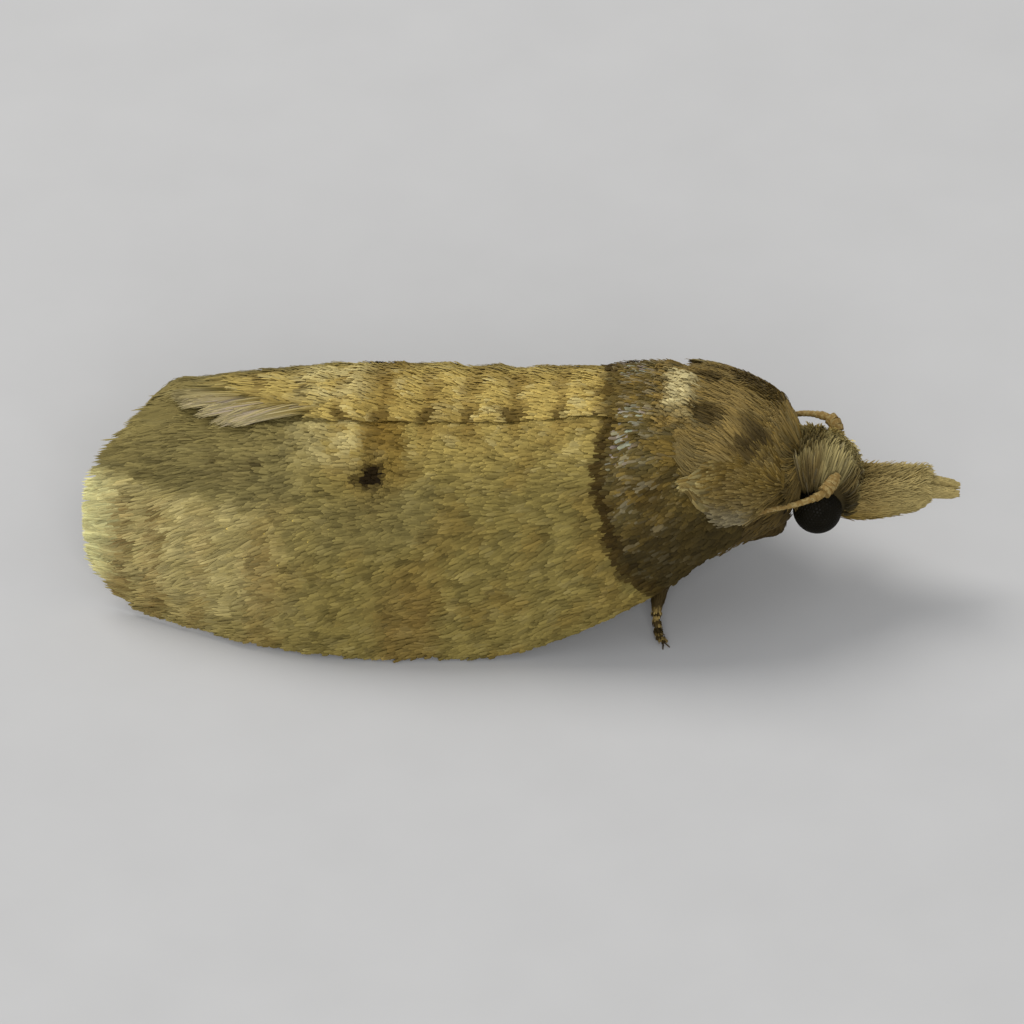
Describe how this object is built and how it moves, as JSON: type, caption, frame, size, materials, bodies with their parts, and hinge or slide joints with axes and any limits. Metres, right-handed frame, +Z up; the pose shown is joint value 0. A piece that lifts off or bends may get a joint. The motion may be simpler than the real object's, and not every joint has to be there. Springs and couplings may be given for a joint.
{
  "type": "small leafroller moth (Henricus umbrabasana) at rest, life-size model",
  "caption": "Small brown and ochre moth at rest, wings folded like a roof over its body, standing on its feet.",
  "frame": {"origin": "middle of the bounding box in plan, on the floor under the feet", "axes": "+X along the body towards the head, +Y to the animal's left, +Z up"},
  "size_m": [0.012, 0.0048, 0.0031],
  "materials": {
    "forewing_scales": "ochre and golden brown scales, satin, with dark brown bands and spots",
    "hindwing_scales": "plain grey-brown scales, satin",
    "thorax_hair": "ochre hair scales with dark brown patches, satin",
    "tegula_scales": "ochre scales with pale tips, satin",
    "head_hair": "tawny hair scales, satin",
    "palp_scales": "rough ochre and brown scales, matt",
    "antenna_scales": "ochre scales in rings, satin",
    "eye": "black-brown, glossy, finely faceted",
    "abdomen_scales": "grey-ochre scales, matt",
    "leg_scales": "dark brown scales with pale yellow rings, matt"
  },
  "bodies": {
    "root": {"head": "head_hair", "eye_left": "eye", "eye_right": "eye", "palp_left": "palp_scales", "palp_right": "palp_scales", "antenna_left": "antenna_scales", "antenna_right": "antenna_scales", "thorax": "thorax_hair", "tegula_left": "tegula_scales", "tegula_right": "tegula_scales", "abdomen": "abdomen_scales", "forewing_left": "forewing_scales", "forewing_right": "forewing_scales", "hindwing_left": "hindwing_scales", "hindwing_right": "hindwing_scales", "foreleg_left": "leg_scales", "foreleg_right": "leg_scales", "midleg_left": "leg_scales", "midleg_right": "leg_scales", "hindleg_left": "leg_scales", "hindleg_right": "leg_scales"}
  },
  "joints": []
}
